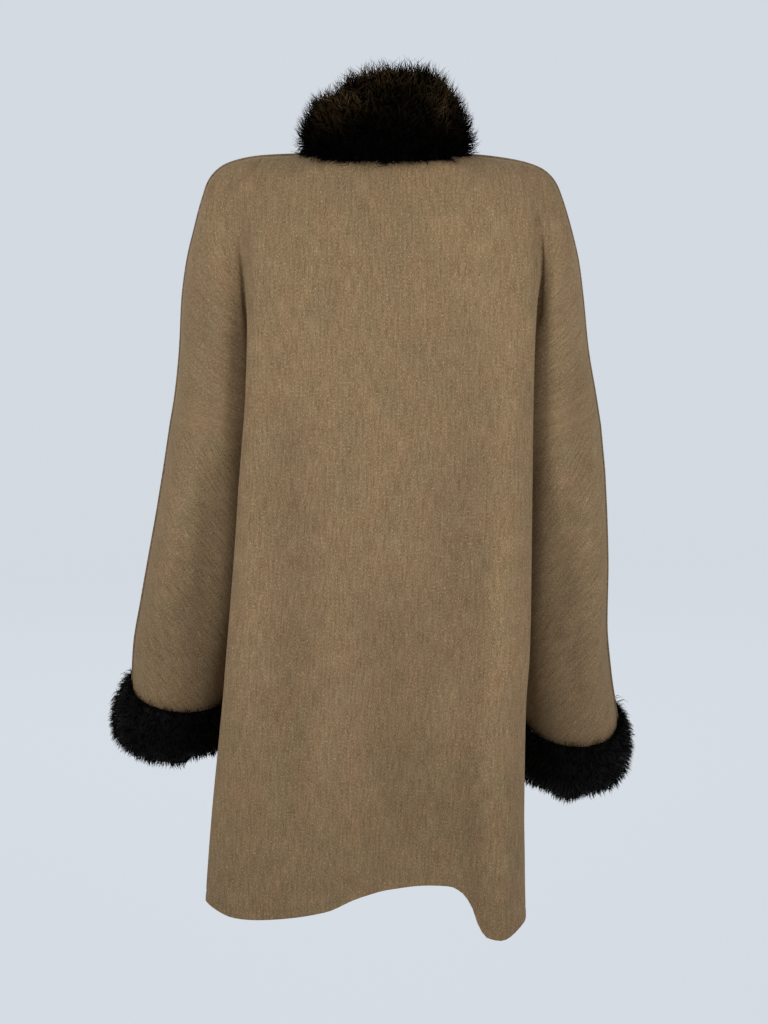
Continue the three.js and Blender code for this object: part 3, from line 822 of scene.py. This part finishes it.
@dataclass(frozen=True)
class Fur:
    """A glossy dark fur.

    Attributes:
        name: The material's name.
        root: The hair's colour at its root.
        tip: The colour of most tips.
        warm: The brown of the lightest tips, which on the collar is painted highlight.
        warmth: How many tips are brown, from 0 to 1.
        shine: How strong its shine is.
        roughness: How soft its shine is.
    """

    name: str
    root: Triple
    tip: Triple
    warm: Triple
    warmth: float
    shine: float
    roughness: float = 0.42

    def build(self) -> bpy.types.Material:
        """Makes the material."""
        n = Nodes(self.name)
        along, tone, brown = n.attribute("along"), n.attribute("tone"), n.attribute("brown")
        colour = n.mix(along.step(0.1, 0.9), self.root, self.tip)
        # brown tips; on the collar they are painted highlight
        colour = n.mix((brown * self.warmth * along.step(0.2, 0.85)).clamped(), colour, self.warm)
        colour = n.tint(colour, 0.4 + tone * 1.2)
        return n.surface(
            Base_Color=colour,
            Roughness=(tone * 0.15 + self.roughness).clamped(),
            IOR=1.35,
            Specular_IOR_Level=self.shine,
        )


@dataclass(frozen=True)
class StudioPaper:
    """The plain pale floor and backdrop, which glows a little so that it is even.

    Attributes:
        colour: Its colour.
        share: How much of the colour is its own reflection.
        glow: Its glow's strength.
    """

    colour: Triple = linear(213, 219, 226)
    share: float = 0.1
    glow: float = 0.93

    def build(self) -> bpy.types.Material:
        """Makes the material."""
        return Nodes("studio_paper").surface(
            Base_Color=tuple(c * self.share for c in self.colour),
            Roughness=1.0,
            Specular_IOR_Level=0.0,
            Emission_Color=(*self.colour, 1.0),
            Emission_Strength=self.glow,
        )


# ---------------------------------------------------------------- meshes


def place_piece(piece: bpy.types.Object, slot: Slot, *nodes: str) -> None:
    """Puts a finished piece on the coat's body and hides the CAD nodes that it stands for."""
    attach(piece, "root")
    if nodes:
        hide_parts(*nodes)


def tree_of(places: Sequence) -> KDTree:
    """A search tree of places."""
    tree = KDTree(max(1, len(places)))
    for k, place in enumerate(places):
        tree.insert(place, k)
    tree.balance()
    return tree


def line_at(gap: Array, place: float, width: float, strength: float) -> Array:
    """A soft line of a strength and half width at a place along the gap."""
    return np.exp(-(((gap - place) / width) ** 2)) * strength


def object_of(name: str, bm: bmesh.types.BMesh, material: bpy.types.Material) -> bpy.types.Object:
    """An object in the scene from a finished bmesh, smooth but for its sharp edges, with its material."""
    for face in bm.faces:
        face.smooth = True
    mesh = bpy.data.meshes.new(name)
    bm.to_mesh(mesh)
    bm.free()
    mesh.materials.append(material)
    made = bpy.data.objects.new(name, mesh)
    bpy.context.scene.collection.objects.link(made)
    return made


@dataclass
class ClothPiece:
    """One cut piece of wool cloth.

    Attributes:
        name: The piece's name.
        node: The CAD node that it stands for.
        patches: Its grids of places.
        on_back: Whether it is the back.
        flat: The width and length of its cut in metres; not used.
        area: The cut's area in square metres; not used.
        wall: The cloth's thickness in metres.
    """

    name: str
    node: str
    patches: list[Patch]
    on_back: bool
    flat: tuple[float, float]
    area: float
    wall: float = 0.0024

    def grid(self, bm: bmesh.types.BMesh, patch: Patch) -> None:
        """Adds a patch to the mesh, with its places in the flat cloth, its seams and its hem."""
        rows, columns = patch.points.shape[:2]
        uv = bm.loops.layers.uv["cloth"]
        seam, hem = bm.verts.layers.float["seam"], bm.verts.layers.float["hem"]
        made = bmesh.ops.create_grid(bm, x_segments=columns - 1, y_segments=rows - 1, size=1.0)["verts"]
        order = sorted(made, key=lambda v: (round(v.co.y * 1e4), round(v.co.x * 1e4)))
        index = {}
        for k, vert in enumerate(order):
            i, j = divmod(k, columns)
            vert.co = Vector(patch.points[i, j] * MM)
            vert[seam] = patch.seam[i, j]
            vert[hem] = float(i == rows - 1 and patch.points[i, j, 2] < HEM_BELOW)
            index[vert] = (i, j)
        for face in {f for v in made for f in v.link_faces}:
            for loop in face.loops:
                loop[uv].uv = patch.cloth[index[loop.vert]]

    def sheet(self) -> bmesh.types.BMesh:
        """The outer skin of the cloth, one sheet with its faces outwards."""
        bm = bmesh.new()
        bm.loops.layers.uv.new("cloth")
        for name in ("seam", "hem", "shade"):
            bm.verts.layers.float.new(name)
        for patch in self.patches:
            self.grid(bm, patch)
        bmesh.ops.remove_doubles(bm, verts=bm.verts[:], dist=2e-5)
        bmesh.ops.reverse_faces(bm, faces=bm.faces[:])
        bm.normal_update()
        self.settle(bm)
        for edge in bm.edges:
            edge.smooth = len(edge.link_faces) == 2
        return bm

    def settle(self, bm: bmesh.types.BMesh) -> None:
        """Lays the folds into the sheet, presses it along its seams and its hem, and paints shade on those lines and
        in the troughs and light on the ridges.
        """
        verts = bm.verts[:]
        seam, hem, shade = (bm.verts.layers.float[name] for name in ("seam", "hem", "shade"))
        at = np.array([v.co for v in verts]) / MM
        normal = np.array([v.normal for v in verts])
        held = np.array([v[seam] for v in verts])
        lift = sum(fold.lift(at[:, 0], at[:, 2]) for fold in FOLDS if fold.on_back == self.on_back)
        facing = smooth_step(((normal[:, 1] if self.on_back else -normal[:, 1]) - 0.15) / 0.5)
        top = smooth_step((-at[:, 2] - FOLDS_TOP) / FOLDS_TOP_REACH)
        gap = self.gap(verts, held)
        edge = self.gap(verts, np.array([v[hem] for v in verts]))
        free = smooth_step(gap / FOLDS_FROM_SEAM)
        pressed, turned = line_at(gap, *SEAM_LINE), line_at(edge, *HEM_LINE)
        lift = lift * facing * free * top
        moved = lift * MM - pressed - turned
        # painted shade: darker near the seams and on the hem's pressed line
        painted_light_and_shade = (1 - smooth_step((gap - 0.006) / 0.004)) * SEAM_SHADE + line_at(edge, *HEM_SHADE)
        # painted light on the folds' ridges and painted shade in their troughs
        painted_light_and_shade -= lift * FOLD_SHADE
        for vert, n, m, c in zip(verts, normal, moved, painted_light_and_shade):
            vert.co += Vector(n) * float(m)
            vert[shade] = float(c)
        bm.normal_update()

    def gap(self, verts: list, held: Array) -> Array:
        """How far each vertex lies in metres from those where held is 1."""
        on = [v.co for v, h in zip(verts, held) if h > 0.5]
        tree = tree_of(on)
        return np.array([tree.find(v.co)[2] if on else 1.0 for v in verts])

    def build(self, material: bpy.types.Material) -> None:
        piece = object_of(self.name, self.sheet(), material)
        thick = piece.modifiers.new("wall", "SOLIDIFY")
        thick.thickness = self.wall
        thick.offset = -1.0
        thick.use_even_offset = False
        thick.use_rim = True
        place_piece(piece, Slot.WOOL, self.node)
        log.info("%s: %d faces", self.name, len(piece.data.polygons))


@dataclass
class Pelt:
    """A closed ring or band of fur: a soft dark base and hairs that reach the solid's skin.

    Attributes:
        name: The piece's name.
        node: The CAD node that it stands for.
        slot: The record's slot.
        depth: How far the base lies under the solid's skin in metres.
        under: How far the soft hairs' tips stand from the skin in metres, from the lowest to the highest.
        guard: The same for the longer guard hairs.
        guards: The share of guard hairs.
        radius: The hairs' radius at the root in metres.
        count: How many hairs each piece of hair has.
        layers: How many pieces of hair there are.
        lean: Which way the hairs lean at a place, given places and normals.
        seed: The seed of its chances.
        brown: How brown the hairs are at a place, given places; on the collar it is painted highlight.
        sewn: The way towards the side that is sewn on, where the base isn't drawn in.
        seat: How far beyond the middle of its section the fur still lies on the cloth, in metres.
        step: How the fur is shifted at a place, given places.
        clump: How strongly the hairs gather into tufts.
        tuft_size: How far a tuft reaches in metres.
    """

    name: str
    node: str
    slot: Slot
    depth: float
    under: tuple[float, float]
    guard: tuple[float, float]
    guards: float
    radius: float
    count: int
    layers: int
    lean: Callable[[Array, Array], Array]
    brown: Callable[[Array], Array]
    sewn: Triple
    seed: int
    seat: float
    step: Callable[[Array], Array]
    clump: float
    tuft_size: float = 0.008

    def solid(self) -> bmesh.types.BMesh:
        """The solid that the fur stands for, its vertices merged."""
        bm = bmesh.new()
        bm.from_mesh(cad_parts[self.node].data)
        bmesh.ops.remove_doubles(bm, verts=bm.verts[:], dist=1e-5)
        return bm

    def base(self, material: bpy.types.Material) -> None:
        """Makes the pelt under the hairs, from a merged copy of the solid, drawn in and softly lumpy."""
        bm = self.solid()
        bmesh.ops.subdivide_edges(bm, edges=bm.edges[:], cuts=2, use_grid_fill=True, smooth=0.0)
        bm.normal_update()
        for _ in range(3):
            axes = {f"use_axis_{axis}": True for axis in "xyz"}
            bmesh.ops.smooth_vert(bm, verts=bm.verts[:], factor=0.5, **axes)
        bm.normal_update()
        rng = np.random.default_rng(self.seed)
        lumps = rng.uniform(-1, 1, (len(bm.verts),)) * LUMP
        at = np.array([v.co for v in bm.verts])
        inward, _ = self.drawn_in(at, np.array([v.normal for v in bm.verts]))
        inward += self.step(at)
        for vert, way, lump in zip(bm.verts, inward, lumps):
            vert.co += Vector(way) - vert.normal * float(lump)
        for name, value in (("along", 0.05), ("tone", 0.3), ("brown", 0.0)):
            layer = bm.verts.layers.float.new(name)
            for vert in bm.verts:
                vert[layer] = value
        bm.normal_update()
        place_piece(object_of(self.name, bm, material), self.slot, self.node)

    def drawn_in(self, at: Array, normal: Array) -> tuple[Array, Array]:
        """How the base lies inside the skin, and which way the hairs grow there.

        The base is drawn in everywhere, but it stays on the side that is sewn on. There it is only narrower, and
        the hairs grow sideways from under it.

        Args:
            at: Places on the skin.
            normal: The skin's directions.

        Returns:
            The shifts from the skin to the base, and the ways out.
        """
        sewn = unit(np.array(self.sewn, float))
        corners = np.array([v.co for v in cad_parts[self.node].data.vertices])
        tree = tree_of(corners)
        cores = np.array([np.mean([f[0] for f in tree.find_range(place, CORE_REACH)], axis=0) for place in corners])
        away = at - cores[[tree.find(place)[1] for place in at]]
        ahead = away @ sewn
        aside = away - ahead[:, None] * sewn
        far = smooth_step(np.linalg.norm(aside, axis=1) / CORE_EDGE)
        aside = unit(aside)
        ring = at - corners.mean(axis=0)
        ring = unit(ring - (ring @ sewn)[:, None] * sewn)
        outer = np.clip((aside * ring).sum(axis=1), 0, 1)
        facing = np.maximum(0, normal @ sewn) * (1 - smooth_step((ahead - self.seat) / SEAT_EDGE))
        narrowed = aside * (facing * far * outer)[:, None]
        facing = facing[:, None]
        shift = -(normal - sewn * facing + narrowed) * self.depth + sewn * facing * SEAT_LIFT
        beside = smooth_step((facing - 0.2) / 0.5)
        return shift, unit(normal * (1 - beside) + (ring + sewn * 0.2) * beside)

    def roots(self, count: int, rng: np.random.Generator) -> tuple[Array, Array]:
        """Places spread evenly over the solid's skin, with its smooth normals.

        Args:
            count: How many.
            rng: The source of chance.

        Returns:
            The places and the normals.
        """
        bm = self.solid()
        bmesh.ops.triangulate(bm, faces=bm.faces[:])
        bm.normal_update()
        corners = np.array([[v.co for v in f.verts] for f in bm.faces], float)
        normals = np.array([[v.normal for v in f.verts] for f in bm.faces], float)
        bm.free()
        area = np.linalg.norm(np.cross(corners[:, 1] - corners[:, 0], corners[:, 2] - corners[:, 0]), axis=1)
        area *= np.clip(SEWN_SPARE - normals.mean(axis=1) @ unit(np.array(self.sewn, float)), SEWN_LEAST, 1)
        face = rng.choice(len(area), size=count, p=area / area.sum())
        a, b = np.sqrt(rng.random(count)), rng.random(count)
        share = np.stack([1 - a, a * (1 - b), a * b], axis=1)[..., None]
        return (corners[face] * share).sum(axis=1), unit((normals[face] * share).sum(axis=1))

    def strands(self, layer: int, material: bpy.types.Material) -> None:
        """Makes one piece of hair: many three-sided tapered hairs joined in one mesh.

        Args:
            layer: Which piece it is.
            material: The fur's material.
        """
        rng = np.random.default_rng(self.seed + 17 * (layer + 1))
        skin, normal = self.roots(self.count, rng)
        is_guard = rng.random(self.count) < self.guards
        stand = np.where(is_guard, rng.uniform(*self.guard, self.count), rng.uniform(*self.under, self.count))
        tufts = skin[rng.choice(self.count, size=max(8, int(self.count * TUFT_SHARE)), replace=False)]
        tree = tree_of(tufts)
        inward, way = self.drawn_in(skin, normal)
        centre = np.array([tree.find(place)[0] for place in skin])
        pull = centre - skin
        pull -= (pull * way).sum(axis=1, keepdims=True) * way
        chance = rng.normal(0, 1, (self.count, 3))
        lean = self.lean(skin, normal)
        first = unit(way + lean * 0.8 + chance * 0.1)
        last = unit(way * 0.8 + lean * 1.2 + chance * 0.14 + pull / self.tuft_size * self.clump)
        root = skin + inward - way * ROOT_SINK + self.step(skin)
        rise = np.maximum(LEAST_RISE, (first * way).sum(axis=1) * 0.5 + (last * way).sum(axis=1) * 0.5)
        long = np.maximum(SHORTEST_HAIR, (stand + np.linalg.norm(inward, axis=1)) / rise)
        middle = root + first * (long * 0.5)[:, None]
        tip = middle + last * (long * 0.5)[:, None]
        across = unit(np.cross(first, chance))
        other = np.cross(first, across)
        ring = [across * math.cos(a) + other * math.sin(a) for a in (0, 2 * math.pi / 3, 4 * math.pi / 3)]
        size = self.radius * rng.uniform(*HAIR_SPREAD, (self.count, 1))
        size = size * np.where(is_guard, GUARD_SIZE, UNDER_SIZE)[:, None]
        verts = np.stack(
            [root + r * size for r in ring] + [middle + r * size * HAIR_TAPER for r in ring] + [tip], axis=1
        ).reshape(-1, 3)
        faces = (np.arange(self.count)[:, None, None] * HAIR_VERTS + np.array(HAIR_FACES)).reshape(-1, 3)
        name = f"{self.name}_hair_{layer + 1}"
        mesh = bpy.data.meshes.new(name)
        mesh.from_pydata(verts.tolist(), [], faces.tolist())
        along = np.tile([0, 0, 0, 0.55, 0.55, 0.55, 1.0], self.count)
        clumps = np.array([tree.find(place)[1] for place in skin])
        tone = np.clip(0.5 + rng.normal(0, 0.2, self.count) + rng.normal(0, 0.22, len(tufts))[clumps], 0, 1)
        brown = self.brown(skin) * rng.random(self.count)
        tone, brown = (np.repeat(value, HAIR_VERTS) for value in (tone, brown))
        for key, value in (("along", along), ("tone", tone), ("brown", brown)):
            mesh.attributes.new(key, "FLOAT", "POINT").data.foreach_set("value", value.astype(np.float32))
        mesh.shade_smooth()
        mesh.materials.append(material)
        piece = bpy.data.objects.new(name, mesh)
        bpy.context.scene.collection.objects.link(piece)
        place_piece(piece, self.slot)

    def build(self, material: bpy.types.Material) -> None:
        """Makes the base and its hairs."""
        self.base(material)
        for layer in range(self.layers):
            self.strands(layer, material)
        log.info("%s: %d hairs", self.name, self.count * self.layers)


def collar_lean(at: Array, normal: Array) -> Array:
    """The collar's hairs rise and lean outwards, more to the back at the top."""
    out = unit(np.column_stack([at[:, :2], np.zeros(len(at))]))
    high = np.clip(at[:, 2:] / 0.1, 0, 1)
    rise = smooth_step((at[:, 2:] + 0.006) / 0.034) * 0.9 - 0.28
    return np.array([0.0, 0.0, 1.0]) * rise + out * 0.3 * (1 - high)


def collar_highlight_brown(at: Array) -> Array:
    """How brown the collar's hair tips are: painted highlight in warm patches on the top and the upper sides and a
    little more higher up, black in the middle and low down.
    """
    patches = (
        ((0.050, 0.062), (0.026, 0.014), 1.0),
        ((0.012, 0.092), (0.024, 0.012), 0.9),
        ((-0.070, 0.062), (0.012, 0.024), 0.9),
        ((-0.034, 0.084), (0.022, 0.010), 0.6),
        ((0.070, 0.040), (0.016, 0.014), 0.45),
    )
    # painted highlight: browner higher up, where the light falls
    high = np.clip((at[:, 2] - 0.01) / 0.06, 0, 1) * 0.16
    return np.clip(
        high
        + sum(
            share * np.exp(-(((at[:, 0] - x) / w) ** 2) - (((at[:, 2] - z) / h) ** 2))
            for (x, z), (w, h), share in patches
        ),
        0,
        1,
    )


def no_step(at: Array) -> Array:
    """Fur that is as long as its solid everywhere."""
    return np.zeros_like(at)


def cuff_step(at: Array) -> Array:
    """The left cuff's ends meet at its back, and the inner one is turned back a little higher."""
    inner = smooth_step((0.262 - at[:, 0]) / 0.003) * smooth_step((-at[:, 2] - 0.715) / 0.045)
    inner *= smooth_step((at[:, 1] + 0.1) / 0.03)
    return inner[:, None] * np.array([0.0, 0.0, 0.008])


def cuff_drop(at: Array) -> Array:
    """The right cuff's lower edge hangs lowest a little towards the body, and rises to both sides."""
    lower = smooth_step((-at[:, 2] - 0.785) / 0.045)
    near = 0.004 + 0.0085 * np.exp(-(((at[:, 0] + 0.241) / 0.021) ** 2))
    return (lower * near)[:, None] * np.array([0.0, 0.0, -1.0])


def cuff_lean(axis: Triple) -> Callable[[Array, Array], Array]:
    """The leaning of hairs that run down along the cuff's axis."""
    down = unit(np.array(axis, float))
    return lambda at, normal: np.broadcast_to(down, at.shape) * 0.6


# ---------------------------------------------------------------- studio


@dataclass
class Studio:
    """The camera, the soft lights and the pale paper.

    Attributes:
        eye: Where the camera stands.
        tilt: How far it looks down in degrees.
        lens: Its focal length in millimetres for a 36 mm long side.
        aim: The height that the lights look at.
        floor: The floor's height.
        reach: The paper's flat radius.
        wall: The paper's height at its rim.
    """

    eye: Triple = (0.0023, 2.5605, 0.0065)
    tilt: float = 10.0
    lens: float = 72.35
    aim: float = -0.25
    floor: float = -1.42
    reach: float = 6.0
    wall: float = 5.0

    def camera(self) -> None:
        """Makes the camera that sees the coat as the photograph does."""
        data = bpy.data.cameras.new("camera")
        data.lens, data.sensor_width, data.sensor_fit = self.lens, 36.0, "AUTO"
        data.clip_start, data.clip_end = 0.05, 60.0
        camera = bpy.data.objects.new("camera", data)
        angle = math.radians(self.tilt)
        camera.rotation_mode = "QUATERNION"
        camera.rotation_quaternion = Vector((0, -math.cos(angle), -math.sin(angle))).to_track_quat("-Z", "Y")
        camera.location = self.eye
        bpy.context.scene.collection.objects.link(camera)
        bpy.context.scene.camera = camera

    def paper(self) -> None:
        """Makes a floor that rises all round in one soft curve."""
        bm = bmesh.new()
        profile = [(self.reach * k / 6, self.floor) for k in range(7)]
        bend = 1.6
        profile += [
            (self.reach + bend * math.sin(a), self.floor + bend * (1 - math.cos(a)))
            for a in np.linspace(0, math.pi / 2, 13)[1:]
        ]
        profile.append((self.reach + bend, self.floor + self.wall))
        line = [bm.verts.new((r, 0, z)) for r, z in profile]
        edges = [bm.edges.new(pair) for pair in zip(line, line[1:])]
        turn = {"cent": (0, 0, 0), "axis": (0, 0, 1), "dvec": (0, 0, 0), "angle": 2 * math.pi, "steps": 72}
        bmesh.ops.spin(bm, geom=line + edges, use_merge=True, use_duplicate=False, **turn)
        bmesh.ops.remove_doubles(bm, verts=bm.verts[:], dist=1e-4)
        bmesh.ops.recalc_face_normals(bm, faces=bm.faces[:])
        paper = object_of("floor", bm, StudioPaper().build())

    def light(
        self, name: str, place: Triple, size: float, power: float, colour: Triple, spread: float = 180.0
    ) -> None:
        """One large soft area light that looks at the coat's middle.

        Args:
            name: Its name.
            place: Where it hangs.
            size: The side of its square in metres.
            power: Its power in watts.
            colour: Its linear colour.
            spread: How wide its beam is in degrees.
        """
        data = bpy.data.lights.new(name, "AREA")
        data.shape, data.size, data.energy, data.color = "SQUARE", size, power, colour
        data.spread = math.radians(spread)
        lamp = bpy.data.objects.new(name, data)
        lamp.location = place
        lamp.rotation_mode = "QUATERNION"
        lamp.rotation_quaternion = (Vector((0, 0, self.aim)) - Vector(place)).to_track_quat("-Z", "Y")
        bpy.context.scene.collection.objects.link(lamp)

    def build(self) -> None:
        """Makes the studio."""
        self.camera()
        self.paper()
        self.light("key", (1.5, 1.6, 0.35), 0.9, 3.9, (1.0, 0.99, 0.96), 60)
        self.light("fill", (-1.6, 1.6, 0.3), 1.0, 4.1, (1.0, 0.99, 0.965), 60)
        self.light("front", (0.4, -3.0, 1.2), 2.4, 50, (1.0, 0.99, 0.97))
        world = bpy.data.worlds.new("soft_sky")
        world.use_nodes = True
        sky = world.node_tree.nodes["Background"]
        sky.inputs["Color"].default_value = (*linear(240, 241, 243), 1.0)
        sky.inputs["Strength"].default_value = 0.45
        bpy.context.scene.world = world
        bpy.context.scene.view_settings.view_transform = "Standard"


def main() -> None:
    """Builds the studio, the cloth and the fur in order."""
    logging.basicConfig(level=logging.INFO)
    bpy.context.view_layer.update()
    Studio().build()
    cut = Cut()
    wool = BrushedWool().build()
    for piece in (
        ClothPiece("back_cloth", "back", cut.back(), True, (1.25, 1.0), 0.77),
        ClothPiece("front_left_cloth", "front_left", cut.front(Side.LEFT), False, (0.66, 1.0), 0.38),
        ClothPiece("front_right_cloth", "front_right", cut.front(Side.RIGHT), False, (0.66, 1.0), 0.39),
    ):
        piece.build(wool)
    # the long fur's warm brown is the colour of the collar's painted highlights
    long_fur = Fur("long_dark_fur", linear(1, 1, 1), linear(5, 4, 3), linear(92, 73, 46), 1.0, 0.03).build()
    short_fur = Fur("short_dark_fur", linear(2, 2, 2), linear(11, 10, 9), linear(34, 28, 22), 0.5, 0.1).build()
    Pelt(
        name="collar_pelt", node="collar", slot=Slot.LONG_FUR, depth=0.013, under=(-0.010, -0.003),
        guard=(-0.003, 0.010), guards=0.2, radius=0.00037, count=16000, layers=3, lean=collar_lean,
        brown=collar_highlight_brown, sewn=(0, 0, -1), seed=11, seat=1.0, step=no_step, clump=1.0,
    ).build(long_fur)
    for side, axis in (("left", (0.1, -0.3, -1.0)), ("right", (0.08, -0.5, -1.0))):
        Pelt(
            name=f"cuff_{side}_pelt", node=f"cuff_{side}", slot=Slot.SHORT_FUR, depth=0.007, under=(-0.004, 0.0),
            guard=(0.0, 0.004), guards=0.25, radius=0.00034, count=14500, layers=1, lean=cuff_lean(axis),
            brown=lambda at: np.ones(len(at)), sewn=tuple(-a for a in axis), seed=23, seat=0.005,
            step=cuff_step if side == "left" else cuff_drop, clump=0.5,
        ).build(short_fur)


if __name__ == "__main__":
    main()
